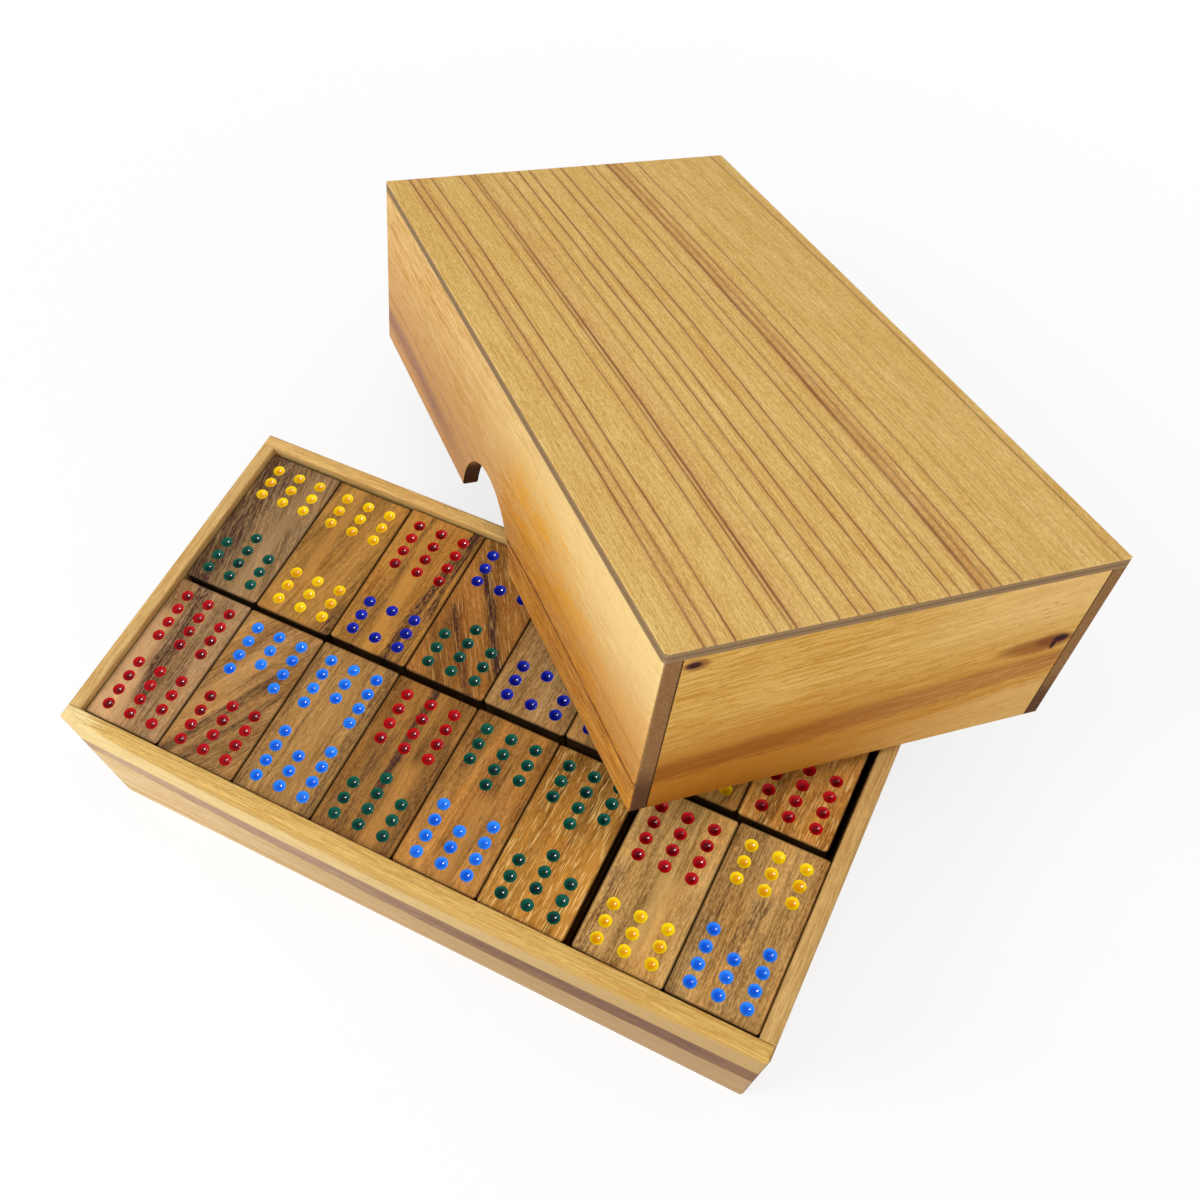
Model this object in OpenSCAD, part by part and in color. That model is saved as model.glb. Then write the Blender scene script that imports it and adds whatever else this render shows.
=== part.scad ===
// Wooden box with a full set of double-twelve dominoes.
//
// A tray of four walls and a floor panel holds the dominoes on their backs, in
// two rows and six layers.  The lid is a second, slightly larger box that drops
// over the outside of the tray, with a half-round finger notch in each long wall.
// Here the lid is off and leans across the tray: it stands on one corner, and
// rests on the right-hand rim and on one domino of the back row.
//
// Frame: origin under the middle of the tray, +X along its length to the right,
// +Y to the back, +Z up.  Millimetres and degrees.

/* [Domino] */
// Width of one domino
tile_w = 25.3; // [20:0.1:32]
// Length of one domino
tile_l = 50; // [40:0.5:64]
// Thickness of one domino
tile_t = 8; // [6:0.1:12]
// Radius of the four corners, seen from above
tile_corner_r = 1.4; // [0.8:0.1:3]
// Radius of the eased edges round both faces
tile_edge_r = 0.5; // [0.2:0.1:1]

/* [Pips] */
// Width of a drilled pip at the face of the domino
pip_d = 3.6; // [2:0.1:4.4]
// Depth of a drilled pip
pip_depth = 1.2; // [0.4:0.1:1.6]
// Distance between the three lines of pips, across the domino
pip_across = 7.6; // [5:0.1:9]
// Distance between the pips of one line, along the domino
pip_along = 5; // [4.5:0.1:6]

/* [Packing] */
// Play between two dominoes that lie side by side, and beside a wall
tile_gap = 0.2; // [0.1:0.05:0.5]
// Free length that is left over in each row
length_play = 2.1; // [1:0.1:6]
// Free width that is left over across the two rows
width_play = 3; // [1:0.1:6]
// Height that the top layer sits clear of the layer under it
seat_gap = 0.25; // [0.1:0.05:0.5]

/* [Tray] */
// Thickness of the tray's walls
wall = 4.5; // [3:0.1:8]
// Thickness of the floor panel and of the lid's top panel
ply_t = 2.8; // [2:0.1:5]
// Height of the rim above the top layer of dominoes
rim_rise = 1.9; // [0.5:0.1:6]
// How far the floor panel is let into the walls
rebate = 2.2; // [1:0.1:2.8]
// Clearance round the floor panel
panel_fit = 0.1; // [0.05:0.05:0.2]
// Radius of the rounded rim on its outer side
rim_r = 1.4; // [0.5:0.1:1.8]
// Radius of the rounded rim on its inner side
rim_inner_r = 0.5; // [0.2:0.1:1]
// Radius of the box's upright corners
corner_r = 1.2; // [0.5:0.1:2.5]

/* [Lid] */
// Thickness of the lid's walls
lid_wall = 5; // [3:0.1:8]
// Clearance between the tray and the lid that slides over it
lid_gap = 1; // [0.5:0.1:2]
// Height that the closed lid's walls stay clear of the table
foot_gap = 0.3; // [0.1:0.1:2]
// Radius of the eased edge along the bottom of the walls
lid_edge_r = 0.7; // [0.2:0.1:1.2]
// Radius of the eased edge round the top panel
panel_edge_r = 0.6; // [0.2:0.1:1]
// Width of the finger notch at the bottom edge
notch_w = 45; // [40:0.5:60]
// Height of the finger notch
notch_h = 19.5; // [16:0.5:22]

/* [Leaning lid] */
// Direction of the lid's long side, seen from above
lid_yaw = -42.35; // [-46:0.05:-38]
// Where the front end of the lid rests on the rim, from the middle of that end
rim_along = 20.3; // [12:0.1:30]
// Where the tray's back wall passes through the notch, from the notch's middle
notch_over = 5.8; // [2:0.1:8]
// Gap left at each of the lid's resting points
lean_gap = 0.4; // [0.1:0.1:0.5]

/* [Hidden] */
columns = 8;                       // dominoes in a row
layers = 6;                        // layers of dominoes
pip_layers = 2;                    // layers, from the top, that are drilled
top_number = 12;                   // highest number in the set
fine = 48;                         // facets of a full circle
over = 1;                          // how far a cutter runs past a face
rows = ["front", "back"];

// Numbers on the top layer, left to right: [half at the back, half at the front]
top_faces = [
    [[12, 12], [11, 12], [11, 11], [12, 10], [10, 11], [10, 10], [12, 9], [9, 11]],
    [[9, 10], [9, 9], [12, 8], [8, 10], [11, 8], [8, 8], [8, 9], [7, 12]]
];

// The bottom layer holds what is left of the set, spread out so that it carries
// the layers above.  true stands for a domino that is turned across the row.
bottom_turned = [
    [false, false, false, false, false, false],
    [false, true, false, true, false]
];

// Column after which the free length of each row is left
loose_after = [6, columns];

// Small shift of each domino of the top layer, as a share of its free play
settle = [
    [0.3, 0.1, 0.1, 0.0, 0.2, 0.1, 0.2, 0.4],
    [0.6, 0.8, 0.3, 0.4, 0.2, 0.0, 0.3, 0.4]
];

pitch = tile_w + tile_gap;
pocket_l = columns * pitch + length_play;
pocket_w = 2 * tile_l + width_play;
tray_l = pocket_l + 2 * wall;
tray_w = pocket_w + 2 * wall;
tiles_top = ply_t + layers * tile_t + seat_gap;
tray_h = tiles_top + rim_rise;

lid_l = tray_l + 2 * (lid_gap + lid_wall);
lid_w = tray_w + 2 * (lid_gap + lid_wall);
lid_wall_h = tray_h - foot_gap;
notch_r = (pow(notch_w / 2, 2) + pow(notch_h, 2)) / (2 * notch_h);

pip_r = (pow(pip_d / 2, 2) + pow(pip_depth, 2)) / (2 * pip_depth);
play_y = width_play - 3 * tile_gap;    // free play of the two rows, front to back

// Every domino of the set, from the highest numbers down, less the top layer
whole_set = [for (a = [top_number : -1 : 0]) for (b = [a : -1 : 0]) [a, b]];
on_top = concat(top_faces[0], top_faces[1]);
below = [for (d = whole_set) if (!is_on_top(d)) d];

function is_on_top(d) = len([for (t = on_top) if (t == d || t == [d[1], d[0]]) t]) > 0;

// ---------------------------------------------------------------- leaning lid
// The lid's underside is a plane.  Its rise per millimetre along the lid (u) and
// across it (v) follow from the heights of two resting points, counted from the
// back right corner, which is on the table:
//   the notch's front corner, just over the dominoes, and
//   the inner edge of the front end, just over the flat of the rim.
rest_on_tiles = tiles_top + lean_gap;
rest_on_rim = tray_h + lean_gap;
flat_edge = lid_wall - lid_edge_r;     // outer face to the inner end of the flat edge
tiles_du = (lid_l + notch_w) / 2;
tiles_dv = flat_edge - lid_w;
rim_du = lid_l - flat_edge;
rim_dv = rim_along - lid_w / 2;
lean_det = tiles_du * rim_dv - tiles_dv * rim_du;
rise_u = (rest_on_tiles * rim_dv - tiles_dv * rest_on_rim) / lean_det;
rise_v = (tiles_du * rest_on_rim - rim_du * rest_on_tiles) / lean_det;
lid_pitch = -asin(rise_u);
lid_roll = asin(rise_v / cos(lid_pitch));

// A point of the lid after rotate([lid_roll, lid_pitch, lid_yaw])
function rolled(p) = [p[0], p[1] * cos(lid_roll) - p[2] * sin(lid_roll),
    p[1] * sin(lid_roll) + p[2] * cos(lid_roll)];
function pitched(p) = [p[0] * cos(lid_pitch) + p[2] * sin(lid_pitch), p[1],
    p[2] * cos(lid_pitch) - p[0] * sin(lid_pitch)];
function yawed(p) = [p[0] * cos(lid_yaw) - p[1] * sin(lid_yaw),
    p[0] * sin(lid_yaw) + p[1] * cos(lid_yaw), p[2]];
function leaned(p) = yawed(pitched(rolled(p)));

rim_point = leaned([lid_l / 2 - flat_edge, rim_along, 0]);
notch_point = leaned([notch_over, (lid_wall - lid_w) / 2, 0]);
foot_point = leaned([-lid_l / 2, lid_w / 2, 0]);
lid_at = [tray_l / 2 - rim_r - rim_point[0], (tray_w - wall) / 2 - notch_point[1],
    -foot_point[2]];

module lean() {
    translate(lid_at) rotate([lid_roll, lid_pitch, lid_yaw]) children();
}

// --------------------------------------------------------------- basic shapes
// Rectangle from [0, 0], each corner with its own radius: r = [lower left,
// lower right, upper right, upper left]
module eased(size, r) {
    difference() {
        square(size);
        for (i = [0 : 3]) if (r[i] > 0) {
            right = (i == 1 || i == 2);
            upper = (i == 2 || i == 3);
            translate([right ? size[0] : 0, upper ? size[1] : 0])
                mirror([right ? 1 : 0, 0]) mirror([0, upper ? 1 : 0]) corner_cut(r[i]);
        }
    }
}

module corner_cut(r) {
    difference() {
        translate([-over, -over]) square(r + over);
        translate([r, r]) circle(r, $fn = fine);
    }
}

// Board that stands on edge along X, with its outer face at y = 0.  Its outline
// is eased in plan, in end section and in elevation:
//   ends     the upright edges at both ends of the outer face
//   section  [bottom outer, bottom inner, top inner, top outer]
//   face     [bottom, top] at both ends
module board(l, t, h, ends, section, face) {
    intersection() {
        translate([-l / 2, 0, 0]) linear_extrude(h) eased([l, t], [ends, ends, 0, 0]);
        translate([-l / 2, 0, 0]) rotate([90, 0, 90]) linear_extrude(l) eased([t, h], section);
        translate([-l / 2, t, 0]) rotate([90, 0, 0]) linear_extrude(t)
            eased([l, h], [face[0], face[0], face[1], face[1]]);
    }
}

// ----------------------------------------------------------------------- tray
rim_section = [0, 0, rim_inner_r, rim_r];

module floor_space(fit) {
    translate([-pocket_l / 2 - rebate - fit, -pocket_w / 2 - rebate - fit, -over])
        cube([pocket_l + 2 * (rebate + fit), pocket_w + 2 * (rebate + fit), ply_t + over]);
}

module tray_floor() {
    color("burlywood") intersection() {
        floor_space(0);
        translate([-tray_l / 2, -tray_w / 2, 0]) cube([tray_l, tray_w, ply_t]);
    }
}

module tray_long_wall() {
    difference() {
        translate([0, -tray_w / 2, 0])
            board(tray_l, wall, tray_h, corner_r, rim_section, [0, rim_r]);
        floor_space(panel_fit);
    }
}

module tray_end() {
    difference() {
        rotate([0, 0, -90]) translate([0, -tray_l / 2, 0])
            board(pocket_w, wall, tray_h, 0, rim_section, [0, 0]);
        floor_space(panel_fit);
    }
}

module tray_front_wall() { color("peru") tray_long_wall(); }
module tray_back_wall() { color("peru") rotate([0, 0, 180]) tray_long_wall(); }
module tray_left_end() { color("goldenrod") tray_end(); }
module tray_right_end() { color("goldenrod") rotate([0, 0, 180]) tray_end(); }

// ------------------------------------------------------------------------ lid
lid_section = [lid_edge_r, lid_edge_r, 0, 0];

// The round cutter's centre is below the wall when the notch is flatter than a
// half circle
module lid_long_wall() {
    difference() {
        translate([0, -lid_w / 2, 0])
            board(lid_l, lid_wall, lid_wall_h, corner_r, lid_section, [lid_edge_r, 0]);
        translate([0, over - lid_w / 2 + lid_wall, notch_h - notch_r]) rotate([90, 0, 0])
            cylinder(h = lid_wall + 2 * over, r = notch_r, $fn = 2 * fine);
    }
}

module lid_end() {
    rotate([0, 0, 90]) translate([0, -lid_l / 2, 0])
        board(lid_w - 2 * lid_wall, lid_wall, lid_wall_h, 0, lid_section, [0, 0]);
}

module lid_top_panel() {
    color("tan") lean() translate([0, 0, lid_wall_h]) intersection() {
        translate([-lid_l / 2, -lid_w / 2, 0]) linear_extrude(ply_t)
            eased([lid_l, lid_w], [corner_r, corner_r, corner_r, corner_r]);
        translate([-lid_l / 2, -lid_w / 2, 0]) rotate([90, 0, 90]) linear_extrude(lid_l)
            eased([lid_w, ply_t], [0, 0, panel_edge_r, panel_edge_r]);
        translate([-lid_l / 2, lid_w / 2, 0]) rotate([90, 0, 0]) linear_extrude(lid_w)
            eased([lid_l, ply_t], [0, 0, panel_edge_r, panel_edge_r]);
    }
}

module lid_left_wall() { color("orange") lean() lid_long_wall(); }
module lid_right_wall() { color("orange") lean() rotate([0, 0, 180]) lid_long_wall(); }
module lid_front_end() { color("gold") lean() lid_end(); }
module lid_back_end() { color("gold") lean() rotate([0, 0, 180]) lid_end(); }

// ------------------------------------------------------------------- dominoes
// Numbers up to nine stand on a grid of three lines and three rows.  From ten up,
// a fourth row is added on the side of the domino's middle: to the middle line
// for ten, to the outer lines for eleven, and to all three for twelve.
// line = -1, 0, 1 across the domino, row = 0 at its end to 3 at its middle.
function has_pip(n, line, row) =
    row == 3 ? (line == 0 ? n == 10 || n == 12 : n >= 11)
    : n >= 9 ? true
    : line == 0 && row == 1 ? n % 2 == 1
    : line == 0 ? n == 8
    : row == 1 ? n >= 6
    : line * (row - 1) > 0 ? n >= 2
    : n >= 4;

// Blank domino.  Only the dominoes that can be seen have eased faces as well as
// round corners.
module blank(eased_faces) {
    r = tile_corner_r;
    e = tile_edge_r;
    intersection() {
        translate([-tile_w / 2, -tile_l / 2, 0]) linear_extrude(tile_t)
            eased([tile_w, tile_l], [r, r, r, r]);
        if (eased_faces) translate([-tile_w / 2, -tile_l / 2, 0]) rotate([90, 0, 90])
            linear_extrude(tile_w) eased([tile_l, tile_t], [e, e, e, e]);
        if (eased_faces) translate([-tile_w / 2, tile_l / 2, 0]) rotate([90, 0, 0])
            linear_extrude(tile_l) eased([tile_w, tile_t], [e, e, e, e]);
    }
}

// Pips of one half, drilled with a ball-nosed cutter.  The half at the back is
// centred on y = tile_l / 4, and its rows are counted from the domino's end.
module half_pips(n) {
    for (line = [-1 : 1]) for (row = [0 : 3]) if (has_pip(n, line, row))
        translate([line * pip_across, tile_l / 4 + (1.5 - row) * pip_along,
                tile_t + pip_r - pip_depth])
            sphere(pip_r, $fn = 32);
}

module domino(face) {
    difference() {
        blank(true);
        half_pips(face[0]);
        rotate([0, 0, 180]) half_pips(face[1]);
    }
}

// Middle of column c in row r (0 front, 1 back); push is how far the domino lies
// from its wall, as a share of its free play
function place(r, c, push) = [
    -pocket_l / 2 + tile_gap + (c - 0.5) * pitch - tile_gap / 2
        + (c > loose_after[r] ? length_play - tile_gap : 0),
    (r == 0 ? -1 : 1) * (pocket_w / 2 - tile_gap - tile_l / 2 - push * play_y / 2)
];

function layer_z(k) = ply_t + (k - 1) * tile_t;

module top_domino(r, c) {
    p = place(r, c, settle[r][c - 1]);
    color("sienna") translate([p[0], p[1], layer_z(layers) + seat_gap])
        domino(top_faces[r][c - 1]);
}

// Full layers under the top one, filled from the highest numbers down
module full_layer(r, k) {
    for (c = [1 : columns]) {
        p = place(r, c, 0.5);
        i = (layers - 1 - k) * 2 * columns + r * columns + c - 1;
        color("chocolate") translate([p[0], p[1], layer_z(k)]) {
            if (k > layers - pip_layers) domino(below[i]);
            else blank(false);
        }
    }
}

// Length of the row that the first n dominoes of the bottom layer take up
function run(turned, n) = n == 0 ? 0 : run(turned, n - 1) + (turned[n - 1] ? tile_l : tile_w);

module bottom_layer(r) {
    turned = bottom_turned[r];
    count = len(turned);
    gap = (pocket_l - 2 * tile_gap - run(turned, count)) / (count - 1);
    for (i = [0 : count - 1])
        color("saddlebrown")
            translate([-pocket_l / 2 + tile_gap + i * gap
                    + (run(turned, i) + run(turned, i + 1)) / 2, place(r, 1, 0.5)[1], layer_z(1)])
                rotate([0, 0, turned[i] ? 90 : 0]) blank(false);
}

// ------------------------------------------------------------------- assembly
tray_floor();
tray_front_wall();
tray_back_wall();
tray_left_end();
tray_right_end();
lid_top_panel();
lid_left_wall();
lid_right_wall();
lid_front_end();
lid_back_end();
for (r = [0 : 1]) for (c = [1 : columns])
    top_domino(r, c);
for (r = [0 : 1]) for (k = [2 : layers - 1])
    full_layer(r, k);
for (r = [0 : 1])
    bottom_layer(r);
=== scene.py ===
# %% [markdown]
# # A box of wooden dominoes
#
# The object is a tray full of dominoes with its lid leaning across it. All of its
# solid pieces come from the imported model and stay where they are. What is made here
# is the look: the wood of every board, the enamel in the drilled pips, the table,
# the lamps and the camera. Lengths are metres, and millimetres inside the woods.

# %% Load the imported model
import math

import bpy
import numpy as np
from mathutils import Matrix, Vector


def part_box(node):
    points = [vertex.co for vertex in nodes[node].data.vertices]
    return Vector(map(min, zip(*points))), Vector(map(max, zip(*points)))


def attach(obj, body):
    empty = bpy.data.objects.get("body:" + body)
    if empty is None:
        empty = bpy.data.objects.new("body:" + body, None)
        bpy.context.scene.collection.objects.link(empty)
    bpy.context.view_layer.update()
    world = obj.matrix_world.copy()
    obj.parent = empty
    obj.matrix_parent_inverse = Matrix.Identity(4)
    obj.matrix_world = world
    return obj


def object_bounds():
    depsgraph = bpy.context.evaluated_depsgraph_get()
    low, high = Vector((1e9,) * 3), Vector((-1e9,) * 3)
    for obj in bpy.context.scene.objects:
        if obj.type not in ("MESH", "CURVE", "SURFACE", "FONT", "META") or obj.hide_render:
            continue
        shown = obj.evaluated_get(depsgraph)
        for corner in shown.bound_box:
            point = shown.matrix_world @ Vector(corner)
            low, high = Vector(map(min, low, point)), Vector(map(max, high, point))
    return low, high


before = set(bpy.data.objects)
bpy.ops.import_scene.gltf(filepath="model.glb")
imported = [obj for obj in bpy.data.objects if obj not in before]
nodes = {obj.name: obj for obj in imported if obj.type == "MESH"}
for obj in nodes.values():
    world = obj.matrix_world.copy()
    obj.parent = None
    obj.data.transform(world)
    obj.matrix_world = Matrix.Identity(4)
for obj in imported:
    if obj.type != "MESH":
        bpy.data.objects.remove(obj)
cad_box = [list(corner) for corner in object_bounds()]
MM = 0.001
print(f"{len(nodes)} pieces, box from {np.round(cad_box[0], 4)} to {np.round(cad_box[1], 4)}")

# %% [markdown]
# ## The camera
#
# A camera can be aimed with a Track To constraint, but then its roll is always
# level. Here the camera is held a little crooked, as by hand, so its three angles are
# given instead. The lens is a plain one, and the small shift moves the picture's frame
# without bending any line.

# %% Camera
PICTURE = 1200  # width and height of the picture, in pixels
FOCAL = 1118.8  # focal length in those pixels
CENTRE = (523.4, 744.15)  # the pixel that the lens looks straight at
CAMERA_AT = (0.0885, -0.1162, 0.3296)
CAMERA_TURN = (25.260, 2.990, 27.178)  # degrees about X, then Y, then Z
SENSOR = 36.0

camera_data = bpy.data.cameras.new("camera")
camera_data.sensor_width = SENSOR
camera_data.lens = SENSOR * FOCAL / PICTURE
camera_data.shift_x = (PICTURE / 2 - CENTRE[0]) / PICTURE
camera_data.shift_y = (CENTRE[1] - PICTURE / 2) / PICTURE
camera_data.clip_start = 0.01
camera = bpy.data.objects.new("camera", camera_data)
camera.location = CAMERA_AT
camera.rotation_euler = [math.radians(angle) for angle in CAMERA_TURN]
bpy.context.scene.collection.objects.link(camera)
bpy.context.scene.camera = camera
print(f"lens {camera_data.lens:.2f} mm, shift {camera_data.shift_x:.4f}, {camera_data.shift_y:.4f}")

# %% [markdown]
# ## Where each board lies
#
# Wood has a direction. A pattern that follows a board needs the board's own frame:
# `along` its fibres, `across` them in the face, and `up` out of the face. The tray
# and the dominoes are square to the table, but the lid leans, so its directions are
# read from its mesh: a flat board faces mostly the way that its largest faces do.

# %% Frames of the boards
def points_of(name):
    """All corners of a node's mesh, as an array of n rows and 3 columns."""
    mesh = nodes[name].data
    flat = np.empty(3 * len(mesh.vertices), np.float32)
    mesh.vertices.foreach_get("co", flat)
    return flat.reshape(-1, 3).astype(float)


def main_facing(name, toward):
    """The direction that most of a node faces.

    Triangles of one rounded normal are one group. The group with the largest sum of
    areas gives the answer, turned round if it points away from `toward`.
    """
    mesh = nodes[name].data
    normals = np.empty(3 * len(mesh.polygons), np.float32)
    areas = np.empty(len(mesh.polygons), np.float32)
    mesh.polygons.foreach_get("normal", normals)
    mesh.polygons.foreach_get("area", areas)
    normals = normals.reshape(-1, 3).astype(float)
    _, group = np.unique(np.round(normals, 2), axis=0, return_inverse=True)
    group = group.ravel()
    widest = np.argmax(np.bincount(group, weights=areas))
    mean = (normals * areas[:, None])[group == widest].sum(0)
    mean = mean / np.linalg.norm(mean)
    return mean if mean @ np.array(toward) > 0 else -mean


class Board:
    """A piece's own frame: where its zero is, and its three directions as columns."""

    def __init__(self, zero, along, across, up):
        self.zero = np.array(zero, float)
        self.axes = np.array([along, across, up], float).T

    def seen(self, points):
        """Points of the model in this frame, in millimetres."""
        return (points - self.zero) @ self.axes / MM


X, Y, Z = np.eye(3)
lid_nodes = [name for name in nodes if name.startswith("lid_")]
lid_up = main_facing("lid_top_panel", Z)
toward_front = points_of("lid_front_end").mean(0) - points_of("lid_back_end").mean(0)
lid_along = main_facing("lid_front_end", toward_front)
lid_across = np.cross(lid_up, lid_along)
lid = Board((0, 0, 0), lid_along, lid_across, lid_up)
corners = lid.seen(np.vstack([points_of(name) for name in lid_nodes]))
lid_low, lid_high = corners.min(0), corners.max(0)
lid_middle = (lid_low + lid_high) / 2
lid.zero = lid.axes @ (lid_middle[0], lid_middle[1], lid_low[2]) * MM
lid_length, lid_width, lid_height = lid_high - lid_low
panel_depth = np.ptp(lid.seen(points_of("lid_top_panel"))[:, 2])
lid_wall = np.ptp(lid.seen(points_of("lid_left_wall"))[:, 1])
print(f"lid {lid_length:.1f} x {lid_width:.1f} x {lid_height:.1f} mm, "
      f"wall {lid_wall:.1f}, panel {panel_depth:.1f}")

tray_low, tray_high = np.array(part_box("tray_front_wall")[0]), np.array(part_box("tray_back_wall")[1])
tray_length, tray_width, tray_height = (tray_high - tray_low) / MM
tray = Board((0, 0, 0), X, Y, Z)
print(f"tray {tray_length:.1f} x {tray_width:.1f} x {tray_height:.1f} mm")

# %% [markdown]
# ## Writing shaders as sums
#
# A wood pattern is a long chain of small sums. Wired by hand, each sum is four lines
# of node code. Here a small class holds one output of a node, and +, - and * on it
# add the Math node themselves, so a pattern reads like the formula it is.

# %% The socket class
class Value:
    """One output of a shader node. Arithmetic on it adds Math nodes to the same material."""

    def __init__(self, socket):
        self.socket = socket

    def node(self, kind, settings=None, sockets=None, output=0):
        """Adds a node: first its settings, then the values or links of its sockets."""
        tree = self.socket.id_data
        made = tree.nodes.new(kind)
        for name, setting in (settings or {}).items():
            setattr(made, name, setting)
        for name, given in (sockets or {}).items():
            if isinstance(given, Value):
                tree.links.new(given.socket, made.inputs[name])
            else:
                made.inputs[name].default_value = given
        return Value(made.outputs[output])

    def math(self, operation, *others):
        """A Math node on this value and the others."""
        return self.node("ShaderNodeMath", {"operation": operation}, dict(enumerate((self, *others))))

    def __add__(self, other):
        return self.math("ADD", other)

    __radd__ = __add__

    def __sub__(self, other):
        return self.math("SUBTRACT", other)

    def __rsub__(self, other):
        return self.node("ShaderNodeMath", {"operation": "SUBTRACT"}, {0: other, 1: self})

    def __mul__(self, other):
        return self.math("MULTIPLY", other)

    __rmul__ = __mul__


print("sockets can be added, subtracted and multiplied")

# %% [markdown]
# Every pattern below is made of the same few words. `noise` gives soft random values,
# `step` and `band` cut them into patches and lines, `mixed` and `glazed` lay colours
# over each other, and `scaled`, `moved` and `turned` change the place before a pattern
# reads it.

# %% Small words for patterns
def colour(red, green, blue):
    """A colour as a screen shows it, 0 to 255, turned into the linear light of a shader."""
    shares = np.array([red, green, blue]) / 255
    linear = np.where(shares <= 0.04045, shares / 12.92, ((shares + 0.055) / 1.055) ** 2.4)
    return (*linear, 1.0)


def scaled(at, along, across, seed=0.0):
    """A place in units of a pattern, so many to the millimetre along and across, moved by a seed."""
    factors = (along, across, across)
    squeezed = at.node("ShaderNodeVectorMath", {"operation": "MULTIPLY"}, {0: at, 1: factors})
    shift = (7.3 * seed, 3.1 * seed, 5.7 * seed)
    return squeezed.node("ShaderNodeVectorMath", {"operation": "ADD"}, {0: squeezed, 1: shift})


def noise(at, detail=2.0, roughness=0.5):
    """Soft random values about 0.5, one for each unit of the place given."""
    sockets = {"Vector": at, "Scale": 1.0, "Detail": detail, "Roughness": roughness}
    return at.node("ShaderNodeTexNoise", {"normalize": True}, sockets)


def step(value, low, high):
    """0 below low, 1 above high, and an S-curve in between. High may be the lower one."""
    if low > high:
        return 1 - step(value, high, low)
    sockets = {"Value": value, "From Min": low, "From Max": high}
    return value.node("ShaderNodeMapRange", {"interpolation_type": "SMOOTHSTEP"}, sockets)


def band(value, place, width):
    """1 at a place, fading to 0 at half the width on both sides."""
    return step((value - place).math("ABSOLUTE"), width / 2, 0)


def bands(value, table, wider=1.0):
    """Several bands, one from each row of place, width and strength."""
    return [band(value, place, width * wider) * strength for place, width, strength in table]


def largest(values):
    """The largest of several values."""
    most, *others = values
    for other in others:
        most = most.math("MAXIMUM", other)
    return most


def mixed(share, first, second):
    """The first colour where the share is 0, the second where it is 1."""
    return share.node("ShaderNodeMix", {"data_type": "RGBA"}, {0: share, 6: first, 7: second}, output=2)


def glazed(tone, *coats):
    """Lays coats over a tone, one after another. A coat is its share and its colour."""
    for share, coat in coats:
        tone = mixed(share, tone, coat)
    return tone


def part(at, letter):
    """The X, Y or Z of a place."""
    return at.node("ShaderNodeSeparateXYZ", {}, {0: at}, output=letter)


def moved(at, across=0.0, deep=0.0, along=0.0):
    """A place pushed along, across or deeper by values that may change over the board."""
    push = at.node("ShaderNodeCombineXYZ", {}, {"X": along, "Y": across, "Z": deep})
    return at.node("ShaderNodeVectorMath", {"operation": "ADD"}, {0: at, 1: push})


def turned(at, degrees):
    """A place turned in the face, so that slanting figure runs straight in it."""
    settings = {"rotation_type": "Z_AXIS"}
    return at.node("ShaderNodeVectorRotate", settings, {"Vector": at, "Angle": math.radians(degrees)})


print("pattern words ready")

# %% [markdown]
# ## The wood itself
#
# The box is made of a tropical plantation wood with a golden sapwood and a brown
# heartwood. Up close such wood is three things on top of each other: slow clouds of
# colour, thin growth lines that run nearly straight, and fine fibres with pores
# drawn out along them. A picture of wood wrapped round a board shows the same grain
# on its ends as on its sides. A solid pattern, worked out from the place inside the
# board, gives true end grain by itself.

# %% Starting and finishing a material
def start(name, board):
    """A new material, and the place inside a board in millimetres along its own frame."""
    material = bpy.data.materials.new(name)
    material.use_nodes = True
    tree = material.node_tree
    tree.nodes.clear()
    texture = Value(tree.nodes.new("ShaderNodeTexCoord").outputs["Object"])
    angles = Matrix(board.axes.tolist()).to_euler()
    sockets = {"Vector": texture, "Location": board.zero, "Rotation": angles, "Scale": (MM, MM, MM)}
    at = texture.node("ShaderNodeMapping", {"vector_type": "TEXTURE"}, sockets)
    return material, at


def facing(at, direction):
    """How much the surface faces a direction: 1 straight at it, 0 square to it, both ways."""
    tree = at.socket.id_data
    normal = Value(tree.nodes.new("ShaderNodeTexCoord").outputs["Normal"])
    settings = {"operation": "DOT_PRODUCT"}
    dot = normal.node("ShaderNodeVectorMath", settings, {0: normal, 1: direction}, output="Value")
    return dot.math("ABSOLUTE")


def finish(material, tone, height, roughness, relief=0.03, shine=0.012):
    """Ends a material: tone is its colour, height its relief from 0 to 1, relief in millimetres."""
    surface = material.node_tree.nodes.new("ShaderNodeBsdfPrincipled")
    surface.inputs["Roughness"].default_value = roughness
    surface.inputs["Specular IOR Level"].default_value = shine
    material.node_tree.links.new(tone.socket, surface.inputs["Base Color"])
    bump = height.node("ShaderNodeBump", {}, {"Height": height, "Distance": relief * MM, "Strength": 1.0})
    material.node_tree.links.new(bump.socket, surface.inputs["Normal"])
    output = material.node_tree.nodes.new("ShaderNodeOutputMaterial")
    material.node_tree.links.new(surface.outputs[0], output.inputs["Surface"])
    return material


def wear(name, material):
    """Gives a node of the model its material."""
    mesh = nodes[name].data
    mesh.materials.clear()
    mesh.materials.append(material)


print("material words ready")

# %% [markdown]
# One plain noise looks like clouds. The same noise, stretched along a board, looks
# like fibres. So four noises of different stretch make the wood: a wide one for the
# clouds, long thin ones for the growth lines and the grain, and short dark ones for
# the pores.

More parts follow.
